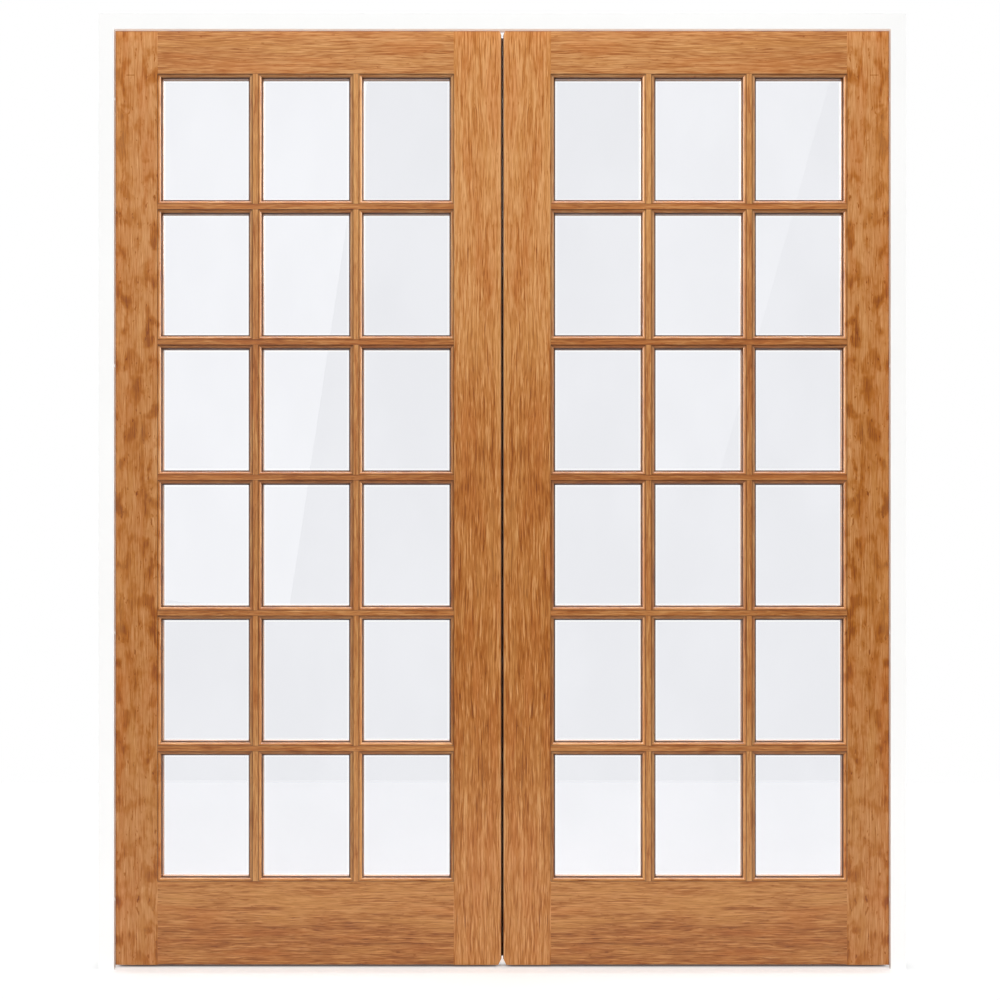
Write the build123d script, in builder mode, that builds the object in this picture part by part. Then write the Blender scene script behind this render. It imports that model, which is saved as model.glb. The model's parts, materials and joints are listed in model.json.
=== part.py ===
from build123d import *
import os

os.makedirs("parts", exist_ok=True)

# A pair of glazed timber doors in a slim rebated frame, millimetres.
# X runs to the right, Y away from the viewer, Z up. The doors swing away from the viewer.

# One leaf
leaf_width = 843.0
leaf_height = 2032.0
leaf_thickness = 44.0
hinge_stile_face = 95.5
meeting_stile_face = 104.5
top_rail_face = 97.5
bottom_rail_face = 181.5
bar_face = 12.5
arris = 1.4
corner_cut_across = 6.5
corner_cut_down = 13.0

# Panes in one leaf
columns = 3
rows = 6

# Moulding worked on the front of every member
moulding_width = 9.5
quirk_depth = 1.6
ovolo_radius = 8.2
moulding_depth = 19.5
glass_bite = 8.0
glass_thickness = 4.0
glass_clearance = 1.5

# Glazing beads on the back
bead_recess = 1.0
bead_splay = 5.0
bead_rise = 11.0
mitre_gap = 0.2

# Tenons
tenon_thickness = 14.0
tenon_length = 62.0
tenon_setback = 2.0
tenon_clearance = 0.15
top_haunch = 26.0
bottom_haunch = 30.0
inner_haunch = 12.0
twin_gap = 24.0
stub_thickness = 10.0
stub_height = 8.0
stub_length = 14.0

# Gaps around the leaves
side_gap = 3.0
head_gap = 3.0
floor_gap = 6.0
back_gap = 2.0
front_gap = 4.0
stop_gap = 1.0

# Frame
lip_depth = 18.0
lip_overlap = 4.5
jamb_thickness = 26.0
housing_depth = 8.0
housing_clearance = 0.2
fixing_radius = 3.25
fixing_margin = 150.0
fixings = 4

# Lift-off butt hinges: the upper knuckle on the leaf drops over a pin fixed in the lower one
hinge_height = 100.0
plate_thickness = 2.0
plate_depth = 30.0
plate_end_gap = 0.6
knuckle_radius = 5.5
knuckle_gap = 0.6
knuckle_cap = 6.0
pin_radius = 3.5
pin_clearance = 0.05
pin_end_gap = 0.05
top_hinge_margin = 150.0
bottom_hinge_margin = 225.0

# Seal let into the left meeting edge
seal_width = 8.0
seal_margin = 7.0
seal_root = 4.0
seal_reach = 0.6
seal_end_margin = 13.0

# Places that follow from the sizes above
overall_depth = lip_depth + stop_gap + leaf_thickness + 2 * knuckle_radius
frame_front = -overall_depth / 2
stop_face = frame_front + lip_depth
leaf_front = stop_face + stop_gap
leaf_back = leaf_front + leaf_thickness
pin_y = leaf_back + knuckle_radius
leaf_bottom = floor_gap
leaf_top = leaf_bottom + leaf_height
meeting_x = back_gap / 2
meeting_bevel = (front_gap - back_gap) / 2
hinge_x = meeting_x + leaf_width
rebate_x = hinge_x + side_gap
pin_x = hinge_x + side_gap / 2
lip_x = hinge_x - lip_overlap
jamb_x = rebate_x + jamb_thickness
head_rebate_z = leaf_top + head_gap
head_lip_z = leaf_top - lip_overlap
head_top_z = head_rebate_z + jamb_thickness

fixing_pitch = (head_lip_z - 2 * fixing_margin) / (fixings - 1)
fixing_heights = [fixing_margin + i * fixing_pitch for i in range(fixings)]

bar_width = bar_face + 2 * moulding_width
stem_width = bar_face + 2 * (moulding_width - glass_bite)
glazed_width = leaf_width - hinge_stile_face - meeting_stile_face - 2 * moulding_width
glazed_height = leaf_height - top_rail_face - bottom_rail_face - 2 * moulding_width
pane_width = (glazed_width - (columns - 1) * bar_width) / columns
pane_height = (glazed_height - (rows - 1) * bar_width) / rows
pitch_x = pane_width + bar_width
pitch_z = pane_height + bar_width

# Distances of the pane centres from the hinge edge, and their heights from the top row down
first_pane = hinge_stile_face + moulding_width + pane_width / 2
pane_steps = [first_pane + i * pitch_x for i in range(columns)]
top_pane_z = leaf_top - top_rail_face - moulding_width - pane_height / 2
pane_heights = [top_pane_z - j * pitch_z for j in range(rows)]
bar_steps = [step + pitch_x / 2 for step in pane_steps[:-1]]
bar_heights = [height - pitch_z / 2 for height in pane_heights[:-1]]

glass_back = leaf_front + moulding_depth + glass_thickness
bead_back = leaf_back - bead_recess
bead_outer_x = pane_width / 2 + glass_bite
bead_outer_z = pane_height / 2 + glass_bite
tenon_y = leaf_front + moulding_depth + tenon_setback + tenon_thickness / 2
stub_y = leaf_front + moulding_depth + (leaf_thickness - moulding_depth) / 2

hinge_heights = [
    leaf_top - top_hinge_margin - hinge_height / 2,
    (leaf_top - top_hinge_margin + leaf_bottom + bottom_hinge_margin) / 2,
    leaf_bottom + bottom_hinge_margin + hinge_height / 2,
]
knuckle_height = (hinge_height - knuckle_gap) / 2
bore_top = hinge_height / 2 - knuckle_cap
plate_back = leaf_back - plate_end_gap
plate_y = plate_back - plate_depth / 2

# Heights of the tenons, as pairs of lower and upper ends
top_tenons = [(leaf_top - top_rail_face + inner_haunch, leaf_top - top_haunch)]
bottom_low = leaf_bottom + bottom_haunch
bottom_high = leaf_bottom + bottom_rail_face - inner_haunch
bottom_middle = (bottom_low + bottom_high) / 2
bottom_tenons = [
    (bottom_low, bottom_middle - twin_gap / 2),
    (bottom_middle + twin_gap / 2, bottom_high),
]


def sticking(face):
    """Half of a moulded section from its face to the glass rebate, as (across, depth) points."""
    round_end = quirk_depth + ovolo_radius
    turn = ovolo_radius * 0.5**0.5
    return [
        (face, 0),
        (face, quirk_depth),
        (face + turn, round_end - turn),
        (face + ovolo_radius, round_end),
        (face + moulding_width, round_end),
        (face + moulding_width, moulding_depth),
        (face + moulding_width - glass_bite, moulding_depth),
        (face + moulding_width - glass_bite, leaf_thickness),
    ]


def moulded_member(plane, place, face, bevel):
    """Section of a stile or rail: flat outer edge, moulding and rebate on the inner one."""
    points = [place(across, depth) for across, depth in sticking(face)]
    with BuildSketch(plane) as section:
        with BuildLine():
            Polyline(points[0], points[1])
            ThreePointArc(points[1], points[2], points[3])
            Polyline(
                *points[3:],
                place(arris, leaf_thickness),
                place(0, leaf_thickness - arris),
                place(bevel, arris),
                place(bevel + arris, 0),
                points[0],
            )
        make_face()
    return section.sketch


def glazing_bar(plane, place):
    """Section of a glazing bar: moulding on both sides of a narrow face, with a stem behind."""
    right = [place(across, depth) for across, depth in sticking(bar_face / 2)]
    left = [place(-across, depth) for across, depth in sticking(bar_face / 2)]
    with BuildSketch(plane) as section:
        with BuildLine():
            Polyline(right[0], right[1])
            ThreePointArc(right[1], right[2], right[3])
            Polyline(*right[3:], left[7], left[6], left[5], left[4], left[3])
            ThreePointArc(left[3], left[2], left[1])
            Polyline(left[1], left[0], right[0])
        make_face()
    return section.sketch


# Head of the frame, with a housing for each jamb
with BuildPart() as head:
    with BuildSketch(Plane.YZ.offset(-jamb_x)):
        with BuildLine():
            Polyline(
                (frame_front, head_lip_z),
                (stop_face, head_lip_z),
                (stop_face, head_rebate_z),
                (leaf_back, head_rebate_z),
                (leaf_back, head_top_z),
                (frame_front, head_top_z),
                close=True,
            )
        make_face()
    extrude(amount=2 * jamb_x)
    for sign in (-1, 1):
        with Locations(
            (
                sign * (rebate_x + jamb_thickness / 2),
                (stop_face + leaf_back) / 2,
                head_rebate_z + housing_depth / 2,
            )
        ):
            Box(jamb_thickness, leaf_back - stop_face, housing_depth, mode=Mode.SUBTRACT)
head.part.label = "head"
export_step(head.part, "parts/head.step")

for side, sign in (("left", -1), ("right", 1)):

    # Jamb: rebated section, scribed under the head's lip and housed into the head, hinge recesses cut
    with BuildPart() as jamb:
        with BuildSketch(Plane.XY):
            with BuildLine():
                Polyline(
                    (sign * lip_x, frame_front),
                    (sign * lip_x, stop_face),
                    (sign * rebate_x, stop_face),
                    (sign * rebate_x, leaf_back - arris),
                    (sign * (rebate_x + arris), leaf_back),
                    (sign * jamb_x, leaf_back),
                    (sign * jamb_x, frame_front),
                    close=True,
                )
            make_face()
        extrude(amount=head_rebate_z + housing_depth - housing_clearance)
        add(head.part, mode=Mode.SUBTRACT)
        for z in hinge_heights:
            with Locations((sign * (rebate_x + plate_thickness / 2), plate_y + plate_end_gap / 2, z)):
                Box(plate_thickness, plate_depth + plate_end_gap, hinge_height, mode=Mode.SUBTRACT)
        with BuildSketch(Plane.YZ.offset(sign * jamb_x)):
            with Locations(*[(frame_front + lip_depth / 2, z) for z in fixing_heights]):
                Circle(fixing_radius)
        extrude(amount=-sign * (jamb_x - lip_x), mode=Mode.SUBTRACT)
    jamb.part.label = side + "_jamb"
    export_step(jamb.part, "parts/" + side + "_jamb.step")

    # Jamb plates of the hinges, let into the rebate, with the lower knuckle
    with BuildPart() as jamb_plates:
        for z in hinge_heights:
            low = z - hinge_height / 2
            with Locations((sign * (rebate_x + plate_thickness / 2), plate_y, z)):
                Box(plate_thickness, plate_depth, hinge_height)
            with Locations(
                (
                    sign * (rebate_x + plate_thickness / 2),
                    (plate_back + pin_y) / 2,
                    low + knuckle_height / 2,
                )
            ):
                Box(plate_thickness, pin_y - plate_back, knuckle_height)
            with Locations((sign * pin_x, pin_y, low + knuckle_height / 2)):
                Cylinder(knuckle_radius, knuckle_height)
                Cylinder(pin_radius + pin_clearance, knuckle_height, mode=Mode.SUBTRACT)
    jamb_plates.part.label = side + "_hinge_jamb_plates"
    export_step(jamb_plates.part, "parts/" + side + "_hinge_jamb_plates.step")

    # Leaf plates of the hinges, let into the edge of the stile, with the upper knuckle, bored from below
    with BuildPart() as leaf_plates:
        for z in hinge_heights:
            high = z + hinge_height / 2
            with Locations((sign * (hinge_x - plate_thickness / 2), plate_y, z)):
                Box(plate_thickness, plate_depth, hinge_height)
            with Locations(
                (
                    sign * (hinge_x - plate_thickness / 2),
                    (plate_back + pin_y) / 2,
                    high - knuckle_height / 2,
                )
            ):
                Box(plate_thickness, pin_y - plate_back, knuckle_height)
            with Locations((sign * pin_x, pin_y, high - knuckle_height / 2)):
                Cylinder(knuckle_radius, knuckle_height)
            with Locations((sign * pin_x, pin_y, z + bore_top / 2)):
                Cylinder(pin_radius + pin_clearance, bore_top, mode=Mode.SUBTRACT)
    leaf_plates.part.label = side + "_hinge_leaf_plates"
    export_step(leaf_plates.part, "parts/" + side + "_hinge_leaf_plates.step")

    # Hinge pins, from the foot of the lower knuckle to the end of the upper bore
    pin_length = hinge_height / 2 + bore_top - pin_end_gap
    with BuildPart() as pins:
        with Locations(
            *[(sign * pin_x, pin_y, z - hinge_height / 2 + pin_length / 2) for z in hinge_heights]
        ):
            Cylinder(pin_radius, pin_length)
    pins.part.label = side + "_hinge_pins"
    export_step(pins.part, "parts/" + side + "_hinge_pins.step")

    # Mortises that both stiles have: centre height, height, length, thickness, centre depth
    mortises = []
    for low, high in top_tenons + bottom_tenons:
        mortises.append(((low + high) / 2, high - low, tenon_length, tenon_thickness, tenon_y))
    for z in bar_heights:
        mortises.append((z, stub_height, stub_length, stub_thickness, stub_y))

    # Hinge stile
    rebate_step = hinge_stile_face + moulding_width - glass_bite
    with BuildPart() as hinge_stile:
        profile = moulded_member(
            Plane.XY.offset(leaf_bottom),
            lambda across, depth: (sign * (hinge_x - across), leaf_front + depth),
            hinge_stile_face,
            0,
        )
        extrude(profile, amount=leaf_height)
        for z, tall, length, thick, y in mortises:
            with Locations((sign * (hinge_x - rebate_step + (length + tenon_setback) / 2), y, z)):
                Box(
                    length + tenon_setback,
                    thick + 2 * tenon_clearance,
                    tall + 2 * tenon_clearance,
                    mode=Mode.SUBTRACT,
                )
        for z in hinge_heights:
            with Locations((sign * (hinge_x - plate_thickness / 2), plate_y + plate_end_gap / 2, z)):
                Box(plate_thickness, plate_depth + plate_end_gap, hinge_height, mode=Mode.SUBTRACT)
    hinge_stile.part.label = side + "_hinge_stile"
    export_step(hinge_stile.part, "parts/" + side + "_hinge_stile.step")

    # Meeting stile: its edge is bevelled, and the left one is grooved for the seal
    meeting_rebate_step = meeting_stile_face + moulding_width - glass_bite
    seal_y = leaf_back - seal_margin - seal_width / 2
    edge_x = meeting_x + meeting_bevel
    with BuildPart() as meeting_stile:
        profile = moulded_member(
            Plane.XY.offset(leaf_bottom),
            lambda across, depth: (sign * (meeting_x + across), leaf_front + depth),
            meeting_stile_face,
            meeting_bevel,
        )
        extrude(profile, amount=leaf_height)
        for z, tall, length, thick, y in mortises:
            with Locations(
                (sign * (meeting_x + meeting_rebate_step - (length + tenon_setback) / 2), y, z)
            ):
                Box(
                    length + tenon_setback,
                    thick + 2 * tenon_clearance,
                    tall + 2 * tenon_clearance,
                    mode=Mode.SUBTRACT,
                )
        with BuildSketch(Plane.XZ.offset(-leaf_back)):
            for end_z, way in ((leaf_top, -1), (leaf_bottom, 1)):
                with BuildLine():
                    Polyline(
                        (0, end_z),
                        (sign * (edge_x + corner_cut_across), end_z),
                        (sign * edge_x, end_z + way * corner_cut_down),
                        (0, end_z + way * corner_cut_down),
                        close=True,
                    )
                make_face()
        extrude(amount=leaf_thickness, mode=Mode.SUBTRACT)
        if side == "left":
            with Locations((-(edge_x + seal_root) / 2, seal_y, (leaf_bottom + leaf_top) / 2)):
                Box(
                    edge_x + seal_root,
                    seal_width,
                    leaf_height - 2 * seal_end_margin,
                    mode=Mode.SUBTRACT,
                )
    meeting_stile.part.label = side + "_meeting_stile"
    export_step(meeting_stile.part, "parts/" + side + "_meeting_stile.step")

    # Seal strip in the left meeting edge; it stops short of both ends and just clears the other leaf
    if side == "left":
        with BuildPart() as meeting_seal:
            with Locations(
                (
                    (seal_reach - edge_x - seal_root) / 2,
                    seal_y,
                    (leaf_bottom + leaf_top) / 2,
                )
            ):
                Box(
                    seal_reach + edge_x + seal_root,
                    seal_width,
                    leaf_height - 2 * seal_end_margin,
                )
        meeting_seal.part.label = "meeting_seal"
        export_step(meeting_seal.part, "parts/meeting_seal.step")

    # The rails and the through bars reach from one stile's face line to the other's,
    # are scribed over the stiles' mouldings, and then get their tenons.
    outer_x = hinge_x - hinge_stile_face
    inner_x = meeting_x + meeting_stile_face
    start_x = min(sign * outer_x, sign * inner_x)
    span = outer_x - inner_x
    rail_ends = [
        (hinge_x - rebate_step, 1),
        (meeting_x + meeting_rebate_step, -1),
    ]

    # Top rail
    with BuildPart() as top_rail:
        profile = moulded_member(
            Plane.YZ.offset(start_x),
            lambda across, depth: (leaf_front + depth, leaf_top - across),
            top_rail_face,
            0,
        )
        extrude(profile, amount=span)
        add(hinge_stile.part, mode=Mode.SUBTRACT)
        add(meeting_stile.part, mode=Mode.SUBTRACT)
        for end_x, outward in rail_ends:
            for low, high in top_tenons:
                with Locations(
                    (
                        sign * (end_x + outward * (tenon_length - tenon_setback) / 2),
                        tenon_y,
                        (low + high) / 2,
                    )
                ):
                    Box(tenon_length + tenon_setback, tenon_thickness, high - low)
    top_rail.part.label = side + "_top_rail"
    export_step(top_rail.part, "parts/" + side + "_top_rail.step")

    # Bottom rail, with twin tenons
    with BuildPart() as bottom_rail:
        profile = moulded_member(
            Plane.YZ.offset(start_x),
            lambda across, depth: (leaf_front + depth, leaf_bottom + across),
            bottom_rail_face,
            0,
        )
        extrude(profile, amount=span)
        add(hinge_stile.part, mode=Mode.SUBTRACT)
        add(meeting_stile.part, mode=Mode.SUBTRACT)
        for end_x, outward in rail_ends:
            for low, high in bottom_tenons:
                with Locations(
                    (
                        sign * (end_x + outward * (tenon_length - tenon_setback) / 2),
                        tenon_y,
                        (low + high) / 2,
                    )
                ):
                    Box(tenon_length + tenon_setback, tenon_thickness, high - low)
    bottom_rail.part.label = side + "_bottom_rail"
    export_step(bottom_rail.part, "parts/" + side + "_bottom_rail.step")

    # Horizontal glazing bars, from the top down
    cross_bars = []
    for number, z in enumerate(bar_heights, 1):
        with BuildPart() as cross_bar:
            profile = glazing_bar(
                Plane.YZ.offset(start_x),
                lambda across, depth: (leaf_front + depth, z + across),
            )
            extrude(profile, amount=span)
            add(hinge_stile.part, mode=Mode.SUBTRACT)
            add(meeting_stile.part, mode=Mode.SUBTRACT)
            for end_x, outward in rail_ends:
                with Locations((sign * (end_x + outward * (stub_length - tenon_setback) / 2), stub_y, z)):
                    Box(stub_length + tenon_setback, stub_thickness, stub_height)
        cross_bar.part.label = side + "_cross_bar_" + str(number)
        export_step(cross_bar.part, "parts/" + side + "_cross_bar_" + str(number) + ".step")
        cross_bars.append(cross_bar.part)

    # Vertical glazing bars, one column a node: each end is coped to the bar's own section, because
    # the rails and cross bars above and below carry the same moulding. So one bar fits every row.
    for name, step in zip(("outer", "inner"), bar_steps):
        bar_x = sign * (hinge_x - step)
        with BuildPart() as upright_bar:
            profile = glazing_bar(
                Plane.XY.offset(bar_heights[0]),
                lambda across, depth: (bar_x + across, leaf_front + depth),
            )
            extrude(profile, amount=pitch_z)
            for z in (bar_heights[0], bar_heights[0] + pitch_z):
                profile = glazing_bar(
                    Plane.YZ.offset(bar_x - bar_width),
                    lambda across, depth: (leaf_front + depth, z + across),
                )
                extrude(profile, amount=2 * bar_width, mode=Mode.SUBTRACT)
        with BuildPart() as upright_bars:
            with Locations(*[(0, 0, height - pane_heights[0]) for height in pane_heights]):
                add(upright_bar.part)
        upright_bars.part.label = side + "_upright_bars_" + name
        export_step(upright_bars.part, "parts/" + side + "_upright_bars_" + name + ".step")

    # Glass, one row of panes a node
    for row, z in enumerate(pane_heights, 1):
        with BuildPart() as panes:
            with Locations(
                *[
                    (sign * (hinge_x - step), glass_back - glass_thickness / 2, z)
                    for step in pane_steps
                ]
            ):
                Box(
                    pane_width + 2 * (glass_bite - glass_clearance),
                    glass_thickness,
                    pane_height + 2 * (glass_bite - glass_clearance),
                )
        panes.part.label = side + "_panes_row_" + str(row)
        export_step(panes.part, "parts/" + side + "_panes_row_" + str(row) + ".step")

    # Glazing beads: four sticks a pane, mitred at the corners and splayed on the inner back edge
    with BuildPart() as beads:
        for step in pane_steps:
            for z in pane_heights:
                glass_plane = Plane(
                    origin=(sign * (hinge_x - step), glass_back, z),
                    x_dir=(1, 0, 0),
                    z_dir=(0, 1, 0),
                )
                with BuildSketch(glass_plane):
                    for way in (-1, 1):
                        with BuildLine():
                            Polyline(
                                (-pane_width / 2 + mitre_gap, way * pane_height / 2),
                                (pane_width / 2 - mitre_gap, way * pane_height / 2),
                                (bead_outer_x - mitre_gap, way * bead_outer_z),
                                (-bead_outer_x + mitre_gap, way * bead_outer_z),
                                close=True,
                            )
                        make_face()
                        with BuildLine():
                            Polyline(
                                (way * pane_width / 2, -pane_height / 2 + mitre_gap),
                                (way * pane_width / 2, pane_height / 2 - mitre_gap),
                                (way * bead_outer_x, bead_outer_z - mitre_gap),
                                (way * bead_outer_x, -bead_outer_z + mitre_gap),
                                close=True,
                            )
                        make_face()
        extrude(amount=bead_back - glass_back)
        for step in pane_steps:
            for z in pane_heights:
                back_plane = Plane(
                    origin=(sign * (hinge_x - step), bead_back, z),
                    x_dir=(1, 0, 0),
                    z_dir=(0, 1, 0),
                )
                with BuildSketch(back_plane.offset(-bead_rise)):
                    Rectangle(pane_width, pane_height)
                with BuildSketch(back_plane):
                    Rectangle(pane_width + 2 * bead_splay, pane_height + 2 * bead_splay)
                loft(mode=Mode.SUBTRACT)
    beads.part.label = side + "_glazing_beads"
    export_step(beads.part, "parts/" + side + "_glazing_beads.step")
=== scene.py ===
import json
import math

import bmesh
import bpy
from mathutils import Matrix, Vector

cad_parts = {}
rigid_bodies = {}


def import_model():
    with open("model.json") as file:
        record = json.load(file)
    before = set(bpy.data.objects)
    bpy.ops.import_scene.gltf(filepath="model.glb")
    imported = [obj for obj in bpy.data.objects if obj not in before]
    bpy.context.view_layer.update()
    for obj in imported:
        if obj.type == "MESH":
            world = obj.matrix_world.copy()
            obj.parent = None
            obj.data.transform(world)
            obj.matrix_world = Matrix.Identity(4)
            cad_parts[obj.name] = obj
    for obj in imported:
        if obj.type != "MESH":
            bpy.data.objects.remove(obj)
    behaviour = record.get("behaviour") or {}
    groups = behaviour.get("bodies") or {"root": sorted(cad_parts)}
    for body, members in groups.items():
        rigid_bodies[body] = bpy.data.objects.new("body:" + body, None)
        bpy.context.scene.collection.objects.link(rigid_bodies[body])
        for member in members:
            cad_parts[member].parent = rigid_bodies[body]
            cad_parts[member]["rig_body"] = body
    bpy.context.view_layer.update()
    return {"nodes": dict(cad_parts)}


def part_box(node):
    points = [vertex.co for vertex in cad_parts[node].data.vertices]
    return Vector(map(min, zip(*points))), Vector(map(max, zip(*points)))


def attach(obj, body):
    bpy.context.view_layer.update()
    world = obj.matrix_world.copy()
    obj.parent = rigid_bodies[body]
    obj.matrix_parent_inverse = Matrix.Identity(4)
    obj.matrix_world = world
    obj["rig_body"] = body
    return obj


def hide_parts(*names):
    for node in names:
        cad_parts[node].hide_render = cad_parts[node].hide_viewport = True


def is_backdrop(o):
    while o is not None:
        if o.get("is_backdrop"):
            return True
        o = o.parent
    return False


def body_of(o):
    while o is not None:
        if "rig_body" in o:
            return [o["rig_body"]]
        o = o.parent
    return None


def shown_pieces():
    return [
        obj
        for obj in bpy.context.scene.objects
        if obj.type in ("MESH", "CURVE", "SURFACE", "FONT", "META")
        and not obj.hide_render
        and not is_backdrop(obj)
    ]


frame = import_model()


# Hinge stiles. The outer uprights of the leaves: solid warm brown hardwood with a clear satin lacquer,
# run through a moulder for the quirk and ovolo, mortised for the rails and hung on three hinges.
# Their boards have cloudy orange-brown figure and short dark flecks.
class Wire:
    """A shader socket that takes part in sums: each operator adds one Math node to its tree."""

    def __init__(self, tree, socket=None):
        self.tree = tree
        self.socket = socket

    def node(self, kind, settings=None, sockets=None, out=0):
        """Adds a node of any kind: its settings first, then the values or links of its sockets."""
        made = self.tree.nodes.new(kind)
        for name, value in (settings or {}).items():
            if name == "stops":
                stops = made.color_ramp.elements
                while len(stops) < len(value):
                    stops.new(1)
                for stop, (position, colour) in zip(stops, value):
                    stop.position, stop.color = position, colour
            else:
                setattr(made, name, value)
        for name, value in (sockets or {}).items():
            if isinstance(value, Wire):
                self.tree.links.new(value.socket, made.inputs[name])
            else:
                made.inputs[name].default_value = value
        return Wire(self.tree, made.outputs[out] if made.outputs else None)

    def other(self, out):
        """Another output of the same node."""
        return Wire(self.tree, self.socket.node.outputs[out])

    def math(self, operation, *values):
        return self.node("ShaderNodeMath", {"operation": operation}, dict(enumerate(values)))

    def __add__(self, value):
        return self.math("ADD", self, value)

    __radd__ = __add__

    def __sub__(self, value):
        return self.math("SUBTRACT", self, value)

    def __rsub__(self, value):
        return self.math("SUBTRACT", value, self)

    def __mul__(self, value):
        return self.math("MULTIPLY", self, value)

    __rmul__ = __mul__

    def __abs__(self):
        return self.math("ABSOLUTE", self)

    def most(self, value):
        return self.math("MAXIMUM", self, value)

    def from_nearest(self, first, pitch):
        """Distance from the nearest of a row of lines, one pitch apart, one of them at first."""
        return abs(self.math("WRAP", self - first, pitch / 2, -pitch / 2))

    def step(self, low, high):
        """0 at low, 1 at high, and smooth between them."""
        return self.node(
            "ShaderNodeMapRange",
            {"interpolation_type": "SMOOTHSTEP"},
            {0: self, 1: low, 2: high},
        )

    def blend(self, low, high):
        """The colour low where this is 0, and the colour high where it is 1."""
        return self.node("ShaderNodeMix", {"data_type": "RGBA"}, {0: self, 6: low, 7: high}, out=2)


def tone(red, green, blue):
    """A colour given as it looks on a screen, from 0 to 255, made linear."""
    parts = [part / 255 for part in (red, green, blue)]
    return tuple(p / 12.92 if p < 0.04045 else ((p + 0.055) / 1.055) ** 2.4 for p in parts) + (1,)


def start_material(name):
    """A new empty material, as (material, its first wire, its Object coordinates)."""
    material = bpy.data.materials.new(name)
    material.use_nodes = True
    material.node_tree.nodes.clear()
    start = Wire(material.node_tree)
    return material, start, start.node("ShaderNodeTexCoord", out="Object")


def finish_material(surface):
    surface.node("ShaderNodeOutputMaterial", {}, {"Surface": surface})


seed_spread = (1, 1.7, 2.3)


def figure(place, scale, detail, seed, distortion=0.0):
    """Noise from 0 to 1 with so many lumps to the metre along each axis."""
    stretched = place.node(
        "ShaderNodeMapping",
        {},
        {"Vector": place, "Location": [seed * share for share in seed_spread], "Scale": scale},
    )
    return place.node(
        "ShaderNodeTexNoise",
        {},
        {"Vector": stretched, "Scale": 1.0, "Detail": detail, "Distortion": distortion},
    )


sway_reach = 0.014
mean_lightness, broad_weight = 0.66, 0.45
streak_share, hair_share, line_share = 0.8, 0.28, 0.26
red_tint, gold_tint, tint_share = tone(192, 110, 46), tone(203, 142, 74), 0.32
# The dark colour that is painted into recesses and shadow lines as shade.
pore_share, painted_shade_colour = 0.1, tone(60, 27, 12)
satin, satin_change = 0.26, 0.1


def timber(name, upright, tones, seed, weights, painted_shade, darker):
    """Lacquered timber with its grain upright or across. The two leaves mirror each other, so the figure
    reads the distance from the middle. weights say how strongly the board shows its bands, streaks, clouds
    and flecks; the function after them gives where shade is painted darker into the colour, in recesses and
    along shadow lines; and darker(x, z) by how much a part of the board runs darker."""
    dark, deep, body, pale = tones
    bands_weight, streak_weight, cloud_weight, fleck_weight = weights
    material, start, place = start_material(name)
    x = start.node("ShaderNodeSeparateXYZ", {}, {0: place})
    y, z = x.other("Y"), x.other("Z")
    x = abs(x)
    across, along = (x, z) if upright else (z, x)
    straight = start.node("ShaderNodeCombineXYZ", {}, {0: across, 1: y, 2: along})
    sway = figure(straight, (9, 9, 4), 2, seed) - 0.5
    grain = start.node("ShaderNodeCombineXYZ", {}, {0: across + sway * sway_reach, 1: y, 2: along})

    broad = figure(grain, (19, 19, 1.6), 2, seed + 1)
    bands = figure(grain, (110, 110, 6), 2, seed + 2)
    streaks = figure(grain, (400, 400, 22), 2, seed + 3)
    hairs = figure(grain, (620, 620, 31), 1, seed + 4)
    lines = figure(grain, (290, 290, 11), 1, seed + 9)
    clouds = figure(straight, (38, 38, 19), 3, seed + 5, 0.2).step(0.48, 0.7)
    flecks = figure(straight, (170, 170, 60), 2, seed + 6).step(0.66, 0.74)
    pores = figure(grain, (1500, 1500, 55), 1, seed + 7)
    hue = figure(grain, (34, 34, 5), 2, seed + 8)

    pale_and_dark_hairs = hairs.step(0.44, 0.3) - hairs.step(0.56, 0.7)
    pale_and_dark_lines = lines.step(0.4, 0.3) - lines.step(0.6, 0.7)
    lightness = mean_lightness + broad_weight * (broad - 0.5) + bands_weight * (bands - 0.5)
    lightness = lightness + streak_share * streak_weight * (streaks - 0.5)
    lightness = lightness + hair_share * streak_weight * pale_and_dark_hairs
    lightness = lightness + line_share * streak_weight * pale_and_dark_lines
    lightness = lightness - cloud_weight * clouds - fleck_weight * flecks - darker(x, z)
    colour = start.node(
        "ShaderNodeValToRGB",
        {"stops": ((0, dark), (0.3, deep), (0.62, body), (1, pale))},
        {0: lightness},
    )
    colour = (hue.step(0.5, 0.72) * tint_share).blend(colour, red_tint)
    colour = (hue.step(0.5, 0.3) * tint_share).blend(colour, gold_tint)
    colour = (pores.step(0.56, 0.7) * pore_share).blend(colour, dark)
    # Painted shade: the colour turns dark where recesses and shadow lines fall in shade.
    colour = painted_shade(x, y, z).blend(colour, painted_shade_colour)

    height = streaks * 0.5 + hairs * 0.3 + pores * 0.2
    normal = start.node(
        "ShaderNodeBump", {}, {"Strength": 0.2, "Distance": 0.0005, "Height": height}
    )
    finish_material(
        start.node(
            "ShaderNodeBsdfPrincipled",
            {},
            {
                "Base Color": colour,
                "Roughness": satin + satin_change * streaks,
                "Normal": normal,
                "Coat Weight": 0.12,
                "Coat Roughness": 0.24,
            },
        )
    )
    return material


# Painted shade: the quirk and the ledge below the ovolo are coloured darker where they fall in shade.
quirk_rim, quirk_core, quirk_shade_depth = 0.0016, 0.0004, 0.55
ledge_rim, ledge_core, ledge_shade_depth = 0.0060, 0.0070, 0.85
ledge_back, ledge_front = -0.0070, -0.0078


def moulding_painted_shade(reach, y):
    """Painted shade in the quirk and on the ledge at the foot of the ovolo, where these recesses fall in
    shade. reach is the distance from the quirk towards the glass."""
    quirk = abs(reach).step(quirk_rim, quirk_core) * quirk_shade_depth
    ledge = reach.step(ledge_rim, ledge_core) * y.step(ledge_back, ledge_front) * ledge_shade_depth
    return quirk.most(ledge)


def dress(material, *names):
    """Gives CAD nodes their finish."""
    for name in names:
        slots = frame["nodes"][name].data.materials
        slots.clear()
        slots.append(material)


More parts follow.
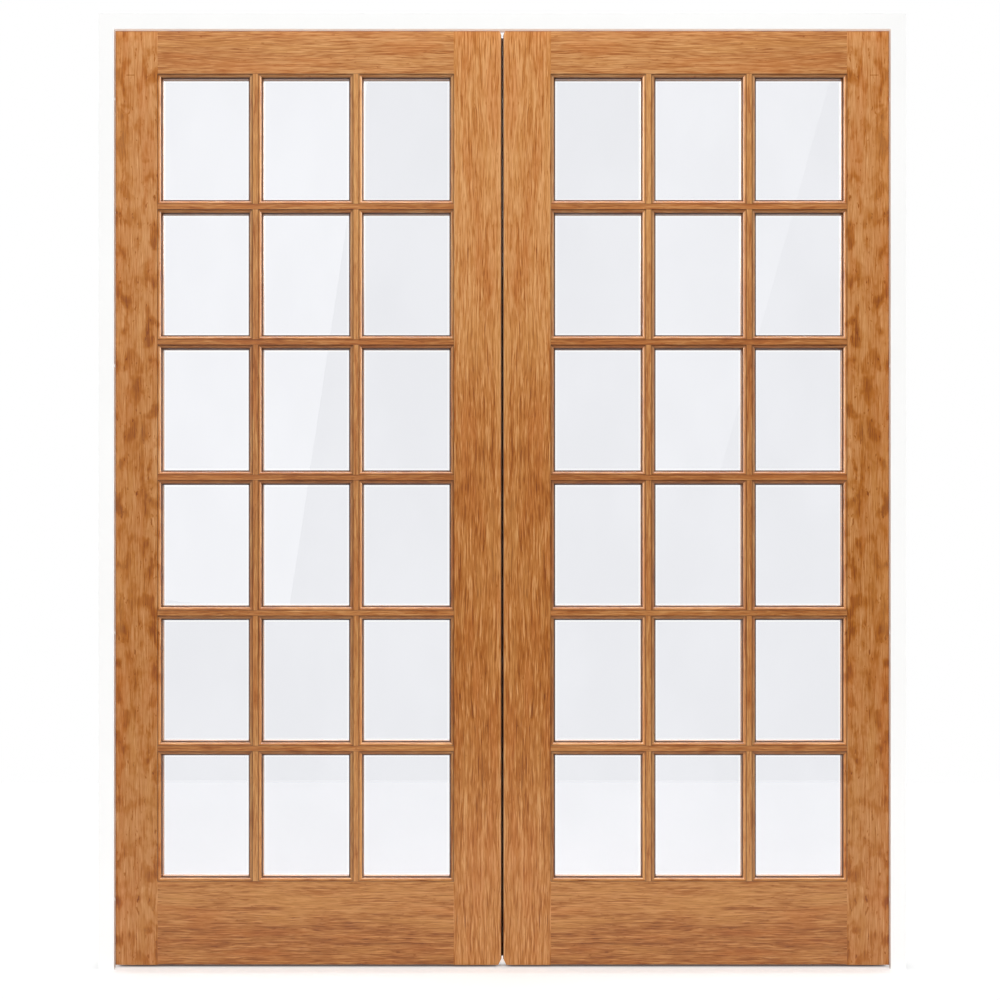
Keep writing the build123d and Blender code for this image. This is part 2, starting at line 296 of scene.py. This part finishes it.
sides = (("left", -1), ("right", 1))
moulding_width = 0.0095
hinge_stile_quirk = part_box("right_hinge_stile")[0][0] + moulding_width
top_rail_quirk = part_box("right_top_rail")[0][2] + moulding_width
bottom_rail_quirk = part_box("right_bottom_rail")[1][2] - moulding_width
soft_end = 0.001


def between_rails(z):
    """1 along the moulded length of a stile, and 0 where the rails meet it."""
    below = z.step(top_rail_quirk + soft_end, top_rail_quirk - soft_end)
    return below * z.step(bottom_rail_quirk - soft_end, bottom_rail_quirk + soft_end)


leaf_edge, leaf_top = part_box("right_hinge_stile")[1][0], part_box("right_hinge_stile")[1][2]
stile_middle = (hinge_stile_quirk + leaf_edge) / 2
# Painted shadow: a thin dark line along the leaf's edge under the frame's lip.
lip_rim, lip_core, lip_shade_depth = 0.0075, 0.0060, 0.3
dash_x, dash_z, dash_half, dash_fade = 0.808, 1.938, 0.008, 0.002
dash_rim, dash_core, dash_depth = 0.0016, 0.0006, 0.45
cloud_depth, edge_cloud_depth = 0.27, 0.17
cloud_middle, cloud_edge = 0.01, 0.03
stile_bright_z, stile_dark_z, stile_fall, stile_lift = 1.9, 0.9, 0.12, 0.06


def lip_painted_shade(x, z):
    """A thin painted shadow line where the leaf's face runs under the lip of the frame."""
    side = x.step(leaf_edge - lip_rim, leaf_edge - lip_core)
    return side.most(z.step(leaf_top - lip_rim, leaf_top - lip_core)) * lip_shade_depth


def edge_clouds(x, z):
    """Soft orange-brown clouds, most of them near the two edges of the board, and one short dark dash."""
    spread = x.node("ShaderNodeCombineXYZ", {}, {0: x, 2: z})
    clouds = figure(spread, (37, 37, 21), 3, 147.0, 0.3).step(0.45, 0.66)
    near_edge = abs(x - stile_middle).step(cloud_middle, cloud_edge)
    dash = abs(z - dash_z).step(dash_rim, dash_core)
    dash = dash * abs(x - dash_x).step(dash_half + dash_fade, dash_half)
    return clouds * (cloud_depth + edge_cloud_depth * near_edge) + dash * dash_depth


hinge_stile_timber = timber(
    "hinge_stile_timber",
    True,
    (tone(134, 64, 4), tone(173, 99, 18), tone(195, 130, 69), tone(219, 163, 108)),
    3.1,
    (0.4, 0.72, 0.12, 0.45),
    lambda x, y, z: (moulding_painted_shade(hinge_stile_quirk - x, y) * between_rails(z)).most(lip_painted_shade(x, z)),
    lambda x, z: edge_clouds(x, z) + z.step(stile_bright_z, stile_dark_z) * stile_fall - stile_lift,
)
dress(hinge_stile_timber, "left_hinge_stile", "right_hinge_stile")


# Meeting stiles. The inner uprights, wider than the outer ones, of the same timber and lacquer.
# They are cut from straight boards, with long upright streaks, and their edges are planed to a bevel
# so that one leaf passes the other.
meeting_stile_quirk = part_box("right_meeting_stile")[1][0] - moulding_width
hook_x, hook_low, hook_high, hook_gap = 0.0555, 1.800, 1.877, 0.0045
hook_bend, hook_tip, hook_depth = 0.02, 0.002, 0.4
mark_rim, mark_core = 0.0014, 0.0005
second_tip, second_full = 0.006, 0.012
# A painted highlight runs along the arris on each side of the gap.
arris_x, arris_rim, arris_core, arris_highlight = 0.0056, 0.0018, 0.0008, 0.22
# Painted shade along the front corner of each meeting stile, beside the gap.
corner_rim, corner_core, corner_shade_depth = 0.0038, 0.0027, 0.85
corner_back, corner_front = -0.0135, -0.0155
dim_high, dim_low, dim_depth = 1.45, 1.05, 0.27
foot_high, foot_low, foot_lift, meeting_lift = 0.6, 0.2, 0.17, 0.06


def hook_marks(x, z):
    """A pair of fine dark lines that close in a hook at the top, a trace of a small knot."""
    climb = z.step(hook_high - hook_bend, hook_high)
    first = abs(x - hook_x - climb * hook_gap).step(mark_rim, mark_core)
    first = first * z.step(hook_high, hook_high - hook_tip)
    second = abs(x - hook_x - hook_gap).step(mark_rim, mark_core)
    second = second * z.step(hook_high - second_tip, hook_high - second_full)
    return first.most(second) * z.step(hook_low, hook_low + hook_bend)


def meeting_tone_and_highlight(x, z):
    """The hook marks, a painted highlight along the arris beside the gap, and how the board darkens down to
    its middle.
    """
    marks = hook_marks(x, z) * hook_depth - abs(x - arris_x).step(arris_rim, arris_core) * arris_highlight
    board = z.step(dim_high, dim_low) * dim_depth - z.step(foot_high, foot_low) * foot_lift
    return marks + board - meeting_lift


def meeting_painted_shade(x, y, z):
    """Painted shade: the moulding's dark lines, the shadow line under the frame, and a dark line of shade
    along the front corner beside the gap.
    """
    moulding = moulding_painted_shade(x - meeting_stile_quirk, y) * between_rails(z)
    corner = x.step(corner_rim, corner_core) * y.step(corner_back, corner_front) * corner_shade_depth
    return moulding.most(lip_painted_shade(x, z)).most(corner)


meeting_stile_timber = timber(
    "meeting_stile_timber",
    True,
    (tone(132, 66, 10), tone(166, 93, 22), tone(193, 125, 59), tone(219, 160, 101)),
    17.4,
    (0.45, 1.2, 0.1, 0.2),
    meeting_painted_shade,
    meeting_tone_and_highlight,
)
dress(meeting_stile_timber, "left_meeting_stile", "right_meeting_stile")


# Top rails. Short boards of the same timber tenoned between the stiles, their grain across the leaf
# and a little wavy, moulded along the lower edge.
top_inner_x, top_outer_x, top_fall, top_depth = 0.3, 0.74, 0.08, 0.01
top_rail_timber = timber(
    "top_rail_timber",
    False,
    (tone(132, 69, 22), tone(163, 96, 42), tone(188, 126, 68), tone(213, 157, 100)),
    29.8,
    (0.3, 1.15, 0.05, 0.3),
    lambda x, y, z: moulding_painted_shade(top_rail_quirk - z, y).most(lip_painted_shade(x, z)),
    lambda x, z: x.step(top_inner_x, top_outer_x) * top_fall + top_depth,
)
dress(top_rail_timber, "left_top_rail", "right_top_rail")


# Bottom rails. Deep boards that carry the weight of the leaf on twin tenons, redder than the top rails,
# with broad bands of grain across, and moulded along the upper edge.
rail_dim_high, rail_dim_low, rail_dim_depth = 0.13, 0.05, 0.23
bottom_rail_timber = timber(
    "bottom_rail_timber",
    False,
    (tone(128, 67, 20), tone(160, 94, 38), tone(186, 122, 62), tone(210, 150, 90)),
    41.3,
    (0.62, 1.3, 0.08, 0.25),
    lambda x, y, z: moulding_painted_shade(z - bottom_rail_quirk, y),
    lambda x, z: z.step(rail_dim_high, rail_dim_low) * rail_dim_depth,
)
dress(bottom_rail_timber, "left_bottom_rail", "right_bottom_rail")


# Cross bars. Five slim moulded glazing bars a leaf, each in one length from stile to stile,
# with a stub tenon at both ends, scribed over the ovolo of the stiles. Two at mid-height are darker wood.
lowest_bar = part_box("right_cross_bar_5")
bar_width = lowest_bar[1][2] - lowest_bar[0][2]
lowest_bar_z = (lowest_bar[1][2] + lowest_bar[0][2]) / 2
pitch_z = (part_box("right_cross_bar_1")[0][2] - lowest_bar[0][2]) / 4
half_bar_face = bar_width / 2 - moulding_width
dark_bars_top, dark_bars_high, dark_bars_low, dark_bars_foot = 1.6, 1.3, 1.0, 0.85
dark_bars_depth, bars_depth = 0.2, 0.1
pale_bar_high, pale_bar_low, pale_bar_lift = 0.7, 0.5, 0.09


def cross_bar_shade(x, z):
    """How the bars differ: two at mid-height are darker, and the lowest is paler."""
    dark_bars = z.step(dark_bars_top, dark_bars_high) * z.step(dark_bars_foot, dark_bars_low)
    return dark_bars * dark_bars_depth - z.step(pale_bar_high, pale_bar_low) * pale_bar_lift + bars_depth


cross_bar_timber = timber(
    "cross_bar_timber",
    False,
    (tone(130, 69, 24), tone(162, 94, 39), tone(186, 121, 63), tone(211, 152, 93)),
    53.2,
    (0.6, 1.1, 0.15, 0.25),
    lambda x, y, z: moulding_painted_shade(z.from_nearest(lowest_bar_z, pitch_z) - half_bar_face, y),
    cross_bar_shade,
)
for side, sign in sides:
    dress(cross_bar_timber, *[f"{side}_cross_bar_{row}" for row in range(1, 6)])


# Upright bars. Short lengths of the same glazing bar between the cross bars, coped over their mouldings
# at each end, so that the mouldings meet in a clean line like a mitre.
inner_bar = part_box("right_upright_bars_inner")
inner_bar_x = (inner_bar[0][0] + inner_bar[1][0]) / 2
pitch_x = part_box("right_upright_bars_outer")[0][0] - inner_bar[0][0]
upright_dim_high, upright_dim_low, upright_dim_depth = 1.75, 1.0, 0.17
upright_pale_high, upright_pale_low, upright_pale_lift = 0.85, 0.4, 0.16
upright_lift = 0.05


def upright_bar_shade(x, z):
    """How the bars darken from the top row to mid-height, and grow paler again in the lowest rows."""
    dim = z.step(upright_dim_high, upright_dim_low) * upright_dim_depth
    return dim - z.step(upright_pale_high, upright_pale_low) * upright_pale_lift - upright_lift


upright_bar_timber = timber(
    "upright_bar_timber",
    True,
    (tone(134, 75, 28), tone(166, 99, 44), tone(191, 128, 69), tone(217, 160, 98)),
    67.9,
    (0.6, 1.1, 0.15, 0.25),
    lambda x, y, z: moulding_painted_shade(x.from_nearest(inner_bar_x, pitch_x) - half_bar_face, y),
    upright_bar_shade,
)
for side, sign in sides:
    dress(upright_bar_timber, f"{side}_upright_bars_outer", f"{side}_upright_bars_inner")


# Panes. Eighteen panes of 4 mm float glass a leaf, set in the rebates from the back.
# The glass has a faint cool grey film, and a painted band of light just short of the timber shows the pane
# clearer there.
rim_inside, rim_outside, rim_light_share = -0.0056, -0.0036, 0.7
material, start, place = start_material("pane_glass")
x = start.node("ShaderNodeSeparateXYZ", {}, {0: place})
z = x.other("Z")
beyond_side = bar_width / 2 - abs(x).from_nearest(inner_bar_x, pitch_x)
beyond_end = bar_width / 2 - z.from_nearest(lowest_bar_z, pitch_z)
# Painted light: a band of the pane next to the timber is coloured paler.
painted_rim_light = beyond_side.most(beyond_end).step(rim_inside, rim_outside) * rim_light_share
film = figure(place, (7, 7, 4), 3, 81.0).step(0.3, 0.7)
film_tint = film.blend(tone(238, 239, 243), tone(241, 242, 246))
wave = start.node(
    "ShaderNodeBump",
    {},
    {"Strength": 0.04, "Distance": 0.001, "Height": figure(place, (5, 5, 3), 1, 83.0)},
)
glass = start.node(
    "ShaderNodeBsdfPrincipled",
    {},
    {
        "Base Color": painted_rim_light.blend(film_tint, tone(255, 255, 255)),
        "Normal": wave,
        "Roughness": 0.0,
        "IOR": 1.5,
        "Transmission Weight": 1.0,
    },
)
shadow_ray = start.node("ShaderNodeLightPath", out="Is Shadow Ray")
see_through = start.node("ShaderNodeBsdfTransparent")
finish_material(start.node("ShaderNodeMixShader", {}, {0: shadow_ray, 1: glass, 2: see_through}))
for side, sign in sides:
    dress(material, *[f"{side}_panes_row_{row}" for row in range(1, 7)])


# Glazing beads. Four slim splayed sticks behind each pane, mitred at the corners and pinned to the bars,
# of the same timber and lacquer. They hold the glass against the front rebate.
# Painted shade: the front part of each bead, seen through the glass, is coloured darker.
seat_back, seat_front, bead_front_shade = 0.0155, 0.0145, 0.3
bead_dim_high, bead_dim_low, bead_dim_depth = 1.6, 0.6, 0.1
bead_timber = timber(
    "bead_timber",
    True,
    (tone(128, 69, 20), tone(160, 92, 33), tone(184, 119, 56), tone(208, 148, 83)),
    91.5,
    (0.6, 0.7, 0.15, 0.2),
    lambda x, y, z: y.step(seat_back, seat_front) * bead_front_shade,
    lambda x, z: z.step(bead_dim_high, bead_dim_low) * bead_dim_depth,
)
dress(bead_timber, "left_glazing_beads", "right_glazing_beads")


# Meeting seal. A dark brown woven pile strip let into a groove in the left meeting edge. Its tip is rounded
# and just brushes the other leaf, so that the gap between the leaves shows as a dark line.
def add_piece(name, mesh, material, body):
    """Makes an object of a finished mesh, which rides on a body."""
    bmesh.ops.recalc_face_normals(mesh, faces=mesh.faces)
    data = bpy.data.meshes.new(name)
    mesh.to_mesh(data)
    mesh.free()
    data.materials.append(material)
    piece = bpy.data.objects.new(name, data)
    bpy.context.scene.collection.objects.link(piece)
    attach(piece, body)
    return piece


material, start, place = start_material("seal_pile")
tufts = figure(place, (900, 900, 700), 2, 97.0)
finish_material(
    start.node(
        "ShaderNodeBsdfPrincipled",
        {},
        {
            "Base Color": tufts.step(0.3, 0.7).blend(tone(18, 7, 3), tone(34, 16, 8)),
            "Roughness": 0.9 - 0.1 * tufts,
            "Normal": start.node(
                "ShaderNodeBump", {}, {"Strength": 0.6, "Distance": 0.001, "Height": tufts}
            ),
            "Specular IOR Level": 0.0,
        },
    )
)
seal_low, seal_high = (Vector(corner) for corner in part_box("meeting_seal"))
pile_tip, pile_round = 0.00108, 0.0005
seal_high.x = pile_tip
mesh = bmesh.new()
bmesh.ops.create_cube(mesh, size=1.0)
bmesh.ops.scale(mesh, vec=seal_high - seal_low, verts=mesh.verts)
bmesh.ops.translate(mesh, vec=(seal_low + seal_high) / 2, verts=mesh.verts)
tip_edges = [
    edge
    for edge in mesh.edges
    if all(vert.co.x > 0 for vert in edge.verts) and edge.verts[0].co.z * edge.verts[1].co.z > 0
]
bmesh.ops.bevel(
    mesh, geom=tip_edges, offset=pile_round, affect="EDGES", segments=3, profile=0.5, material=-1
)
pile = add_piece("meeting_pile", mesh, material, "left_leaf")
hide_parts("meeting_seal")


# Frame. A softwood head and two jambs with a worked rebate, housed and screwed together at the corners,
# filled, sanded and brushed with white satin paint.
material, start, place = start_material("frame_paint")
brush_marks = figure(place, (420, 420, 14), 2, 103.0)
patches = figure(place, (6, 6, 3), 2, 107.0).step(0.3, 0.7)
finish_material(
    start.node(
        "ShaderNodeBsdfPrincipled",
        {},
        {
            "Base Color": patches.blend(tone(247, 247, 246), tone(249, 249, 248)),
            "Roughness": 0.34 + 0.12 * brush_marks,
            "Normal": start.node(
                "ShaderNodeBump", {}, {"Strength": 0.12, "Distance": 0.0004, "Height": brush_marks}
            ),
        },
    )
)
dress(material, "head", "left_jamb", "right_jamb")
for name in ("head", "left_jamb", "right_jamb"):
    frame["nodes"][name].visible_shadow = False


# Hinges. Lift-off butt hinges of satin stainless steel, three a leaf: plates let into jamb and stile,
# rolled knuckles, and a turned pin fixed in the lower one.
hinge_steel, start, place = start_material("hinge_steel")
brushing = figure(place, (60, 60, 2600), 2, 113.0)
smudge = figure(place, (30, 30, 30), 2, 117.0).step(0.35, 0.7)
finish_material(
    start.node(
        "ShaderNodeBsdfPrincipled",
        {},
        {
            "Base Color": smudge.blend(tone(196, 195, 192), tone(180, 179, 175)),
            "Metallic": 1.0,
            "Roughness": 0.24 + 0.16 * brushing + 0.05 * smudge,
            "Normal": start.node(
                "ShaderNodeBump", {}, {"Strength": 0.08, "Distance": 0.0003, "Height": brushing}
            ),
        },
    )
)
for side, sign in sides:
    dress(hinge_steel, *[f"{side}_hinge_{part}" for part in ("jamb_plates", "leaf_plates", "pins")])


# Hinge screws. Four slotted screws of the same steel through each plate, their heads sunk almost flush.
# A head is a round base with a half-moon on each side of the slot.
def add_disc(mesh, foot, across, out, radius, rise, count):
    """A thin round disc that rises from the middle of its foot towards out, with so many corners."""
    turned = Matrix((across, out.cross(across), out)).transposed().to_4x4()
    bmesh.ops.create_cone(
        mesh,
        cap_ends=True,
        segments=count,
        radius1=radius,
        radius2=radius,
        depth=rise,
        matrix=Matrix.Translation(foot + out * rise / 2) @ turned,
    )


def arc_points(middle, across, up, radius, first, last, count):
    """Points on an arc in the plane of two unit vectors, from one angle to another."""
    angles = [first + (last - first) * i / (count - 1) for i in range(count)]
    return [middle + radius * (math.cos(a) * across + math.sin(a) * up) for a in angles]


def raise_face(mesh, corners, way):
    """A closed prism: a flat outline, its corners in order, raised by the vector way."""
    face = mesh.faces.new([mesh.verts.new(corner) for corner in corners])
    raised = bmesh.ops.extrude_face_region(mesh, geom=[face], use_keep_orig=True)["geom"]
    moved = [part for part in raised if isinstance(part, bmesh.types.BMVert)]
    bmesh.ops.translate(mesh, vec=way, verts=moved)


plate_thickness, half_hinge, plate_middle_y = 0.002, 0.05, 0.0104
head_radius, slot_half_angle, base_rise, head_rise = 0.0038, 0.16, 0.0001, 0.0004
head_corners, moon_corners = 20, 12
screw_rises, screw_stagger = (-0.038, -0.014, 0.014, 0.038), 0.006
along_y, along_z = Vector((0, 1, 0)), Vector((0, 0, 1))
for side, sign in sides:
    low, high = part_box(side + "_hinge_jamb_plates")
    hinge_heights = (low.z + half_hinge, (low.z + high.z) / 2, high.z - half_hinge)
    jamb_face = (low, high)[sign > 0].x - sign * plate_thickness
    leaf_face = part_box(side + "_hinge_stile")[sign > 0].x
    for part, body, face_x, way in (
        ("jamb", "frame", jamb_face, -sign),
        ("leaf", side + "_leaf", leaf_face, sign),
    ):
        out = Vector((way, 0, 0))
        mesh = bmesh.new()
        for hinge_z in hinge_heights:
            for number, rise in enumerate(screw_rises):
                screw_y = plate_middle_y + screw_stagger * (-1) ** number
                middle = Vector((face_x, screw_y, hinge_z + rise))
                add_disc(mesh, middle, along_y, out, head_radius, base_rise, head_corners)
                for turn in (0, math.pi):
                    first, last = turn + slot_half_angle, turn + math.pi - slot_half_angle
                    moon = arc_points(middle, along_y, along_z, head_radius, first, last, moon_corners)
                    raise_face(mesh, moon, out * head_rise)
        add_piece(f"{side}_{part}_hinge_screws", mesh, hinge_steel, body)


# Bead pins. Two fine steel pins through each glazing bead into the timber beside it,
# driven until their heads are almost flush with the splayed face.
pin_radius, pin_rise, pin_y, pin_offset, pin_corners = 0.0009, 0.0002, 0.0195, 0.0025, 8
splay_inward, splay_back, pin_share = 0.911, 0.412, 0.3
half_width, half_rise = (pitch_x - bar_width) / 2, (pitch_z - bar_width) / 2
for side, sign in sides:
    mesh = bmesh.new()
    for column in range(3):
        for row in range(6):
            pane_x = sign * (inner_bar_x + (column - 0.5) * pitch_x)
            pane_z = lowest_bar_z + (row - 0.5) * pitch_z
            for outward, half, length in (
                (Vector((1, 0, 0)), half_width, half_rise),
                (Vector((-1, 0, 0)), half_width, half_rise),
                (Vector((0, 0, 1)), half_rise, half_width),
                (Vector((0, 0, -1)), half_rise, half_width),
            ):
                along = outward.cross(along_y)
                out = along_y * splay_back - outward * splay_inward
                stick = Vector((pane_x, pin_y, pane_z)) + outward * (half + pin_offset)
                for way in (-1, 1):
                    foot = stick + along * (way * length * 2 * pin_share)
                    add_disc(mesh, foot, along, out, pin_radius, pin_rise, pin_corners)
    add_piece(side + "_bead_pins", mesh, hinge_steel, side + "_leaf")


# Floor. A plain pale studio floor that ends a few metres behind the doors. To the camera it is white, and
# the soft shadow at the foot of the leaves is partly real and partly painted into that white from an
# occlusion node, with a paler grey band just before them.
def seen(start):
    """1 for the rays that show a thing to the camera, straight or by gloss or glass,
    and 0 for those that carry its light."""
    path = start.node("ShaderNodeLightPath", out="Is Camera Ray")
    return path.most(path.other("Is Glossy Ray")).most(path.other("Is Transmission Ray"))


floor_half_width, floor_front, floor_back, floor_glow = 7.0, -2.85, 2.8, 0.67
shade_reach, foot_band_depth = 0.06, 0.18
shade_dark, shade_light, band_dark, band_light = 0.03, 0.16, 0.92, 0.99
mesh = bmesh.new()
bmesh.ops.create_grid(mesh, x_segments=1, y_segments=1, size=1.0)
bmesh.ops.scale(
    mesh, vec=(floor_half_width, (floor_back - floor_front) / 2, 1), verts=mesh.verts
)
bmesh.ops.translate(mesh, vec=(0, (floor_back + floor_front) / 2, 0), verts=mesh.verts)
floor_mesh = bpy.data.meshes.new("floor")
mesh.to_mesh(floor_mesh)
mesh.free()
floor = bpy.data.objects.new("floor", floor_mesh)
bpy.context.scene.collection.objects.link(floor)
material, start, place = start_material("floor_white")
scuffs = figure(place, (3, 3, 3), 3, 121.0)
# Painted shadow: the white glow is cut down where the leaves are close, to a grey band before their foot
# and to dark beneath them.
open_sky = start.node("ShaderNodeAmbientOcclusion", {"samples": 32}, {"Distance": shade_reach}, out="AO")
foot_shadow_band = 1 - foot_band_depth + foot_band_depth * open_sky.step(band_dark, band_light)
lit = open_sky.step(shade_dark, shade_light) * foot_shadow_band
finish_material(
    start.node(
        "ShaderNodeBsdfPrincipled",
        {},
        {
            "Base Color": scuffs.step(0.3, 0.7).blend(tone(238, 238, 238), tone(242, 242, 242)),
            "Roughness": 0.9,
            "Specular IOR Level": 0.1,
            "Emission Color": (seen(start) * lit).blend((0, 0, 0, 1), (floor_glow,) * 3 + (1,)),
            "Emission Strength": 1.0,
        },
    )
)
floor_mesh.materials.append(material)
floor.visible_shadow = False
floor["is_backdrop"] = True


# Light. A soft even sky, white to the camera, and long strip lamps for each leaf: an upright one from the
# other leaf's side, a weak one opposite and a level one from above. Each reaches its own leaf alone, so the
# leaves are lit as mirrored halves, with a highlight along the mouldings. Frame and back have lamps too.
fill_level = 0.38
world = bpy.data.worlds.new("studio")
bpy.context.scene.world = world
world.use_nodes = True
world.node_tree.nodes.clear()
start = Wire(world.node_tree)
sky = seen(start).blend((fill_level, fill_level, fill_level, 1), (1, 1, 1, 1))
background = start.node("ShaderNodeBackground", {}, {"Color": sky, "Strength": 1.0})
start.node("ShaderNodeOutputWorld", {}, {"Surface": background})


def lamp(name, place, aim, level, width, height, bodies):
    """A rectangular lamp that shines on the pieces of some bodies. level is the brightness of a white card
    that faces it at its aim."""
    light = bpy.data.lights.new(name, "AREA")
    light.shape = "RECTANGLE"
    light.size = width
    light.size_y = height
    way = Vector(place) - Vector(aim)
    light.energy = level * math.pi**2 * way.length_squared
    holder = bpy.data.objects.new(name, light)
    holder.location = place
    holder.rotation_mode = "QUATERNION"
    holder.rotation_quaternion = way.to_track_quat("Z", "Y")
    holder.visible_camera = False
    holder.visible_transmission = False
    bpy.context.scene.collection.objects.link(holder)
    receivers = bpy.data.collections.new(name + "_receivers")
    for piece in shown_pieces():
        if body_of(piece)[0] in bodies:
            receivers.objects.link(piece)
    holder.light_linking.receiver_collection = receivers


strip_reach, strip_width, strip_length = 9.0, 1.2, 5.0
strip_slant, strip_forward, strip_lift = 0.89, -0.38, 0.26
leaf_centre_x, leaf_centre_z = 0.4225, 1.02
side_level, counter_level, top_level = 0.72, 0.13, 0.72
pair_middle = (0, 0, 1)
frame_low_place, frame_low_level, frame_low_size = (0, -18, -14), 0.62, 9
frame_high_place, frame_high_level, frame_high_size = (0, -9, 7), 0.26, 5
back_place, back_level, back_size = (0, 9, 5), 0.5, 5
for side, sign in sides:
    aim = Vector((sign * leaf_centre_x, 0, leaf_centre_z))
    for part, way, level in (("strip", -sign, side_level), ("counter_strip", sign, counter_level)):
        lamp(
            f"{side}_{part}",
            aim + strip_reach * Vector((way * strip_slant, strip_forward, strip_lift)),
            aim,
            level,
            strip_width,
            strip_length,
            [side + "_leaf"],
        )
    lamp(
        side + "_top_strip",
        aim + strip_reach * Vector((0, strip_forward, strip_slant)),
        aim,
        top_level,
        strip_length,
        strip_width,
        [side + "_leaf"],
    )
for name, place, level, size, bodies in (
    ("frame_low_lamp", frame_low_place, frame_low_level, frame_low_size, ["frame"]),
    ("frame_high_lamp", frame_high_place, frame_high_level, frame_high_size, ["frame"]),
    ("back_lamp", back_place, back_level, back_size, ["frame", "left_leaf", "right_leaf"]),
):
    lamp(name, place, pair_middle, level, size, size, bodies)


# Cards. A dark card behind the camera and two slanted bright ones before it, which glow though they are no
# lamps and show only in gloss: they paint faint slanted reflections of a lit room into the panes.
card_fall = 0.92


def card(name, corners, glow):
    """A flat glowing card from its corners in order, which only glossy rays see, for a painted reflection.
    """
    mesh = bmesh.new()
    mesh.faces.new([mesh.verts.new(corner) for corner in corners])
    card_mesh = bpy.data.meshes.new(name)
    mesh.to_mesh(card_mesh)
    mesh.free()
    made = bpy.data.objects.new(name, card_mesh)
    bpy.context.scene.collection.objects.link(made)
    material, start, place = start_material(name)
    sheen = figure(place, (0.6, 0.6, 0.6), 2, 131.0).step(0.2, 0.8)
    low, high = (card_fall * glow,) * 3 + (1,), (glow,) * 3 + (1,)
    finish_material(
        start.node(
            "ShaderNodeBsdfPrincipled",
            {},
            {
                "Base Color": (0, 0, 0, 1),
                "Specular IOR Level": 0.0,
                "Emission Color": sheen.blend(low, high),
                "Emission Strength": 1.0,
            },
        )
    )
    card_mesh.materials.append(material)
    for ray in ("camera", "diffuse", "transmission", "shadow", "volume_scatter"):
        setattr(made, "visible_" + ray, False)
    made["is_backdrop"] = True


camera_distance, camera_height, view_span = 4.2, 1.0, 2.1715
view_centre_x, view_centre_z = -0.005, 1.0153
leaf_front_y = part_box("right_meeting_stile")[0][1]
picture_size = 1000
dark_y, bright_y = -9.0, -8.9
dark_glow, left_glow, right_glow = 0.12, 1.75, 0.95
dark_corners = (-200, -200), (1200, -200), (1200, 1000), (-200, 1000)
left_corners = (160, 40), (374, 40), (288, 612), (160, 600)
right_corners = (648, 40), (842, 40), (718, 480), (648, 490)


def mirrored(px, py, y):
    """The point at depth y whose reflection in the panes shows at that place of the image."""
    spread = (leaf_front_y * 2 - y + camera_distance - leaf_front_y) / camera_distance
    across = (px / picture_size - 0.5) * view_span
    up = view_centre_z - (py / picture_size - 0.5) * view_span - camera_height
    return (view_centre_x + across * spread, y, camera_height + up * spread)


for name, glow, depth, outline in (
    ("dark_card", dark_glow, dark_y, dark_corners),
    ("left_bright_card", left_glow, bright_y, left_corners),
    ("right_bright_card", right_glow, bright_y, right_corners),
):
    card(name, [mirrored(px, py, depth) for px, py in outline], glow)


# Camera. It stands about 4.2 m in front of the doors, at about the middle of their height,
# level, with the view shifted up to take in the whole pair.
sensor_width = 36
camera_data = bpy.data.cameras.new("camera")
camera = bpy.data.objects.new("camera", camera_data)
camera_data.sensor_width = sensor_width
camera_data.lens = sensor_width * camera_distance / view_span
camera_data.shift_y = (view_centre_z - camera_height) / view_span
camera.location = (view_centre_x, leaf_front_y - camera_distance, camera_height)
camera.rotation_euler = (math.pi / 2, 0, 0)
bpy.context.scene.collection.objects.link(camera)
bpy.context.scene.camera = camera
bpy.context.scene.view_settings.view_transform = "Standard"
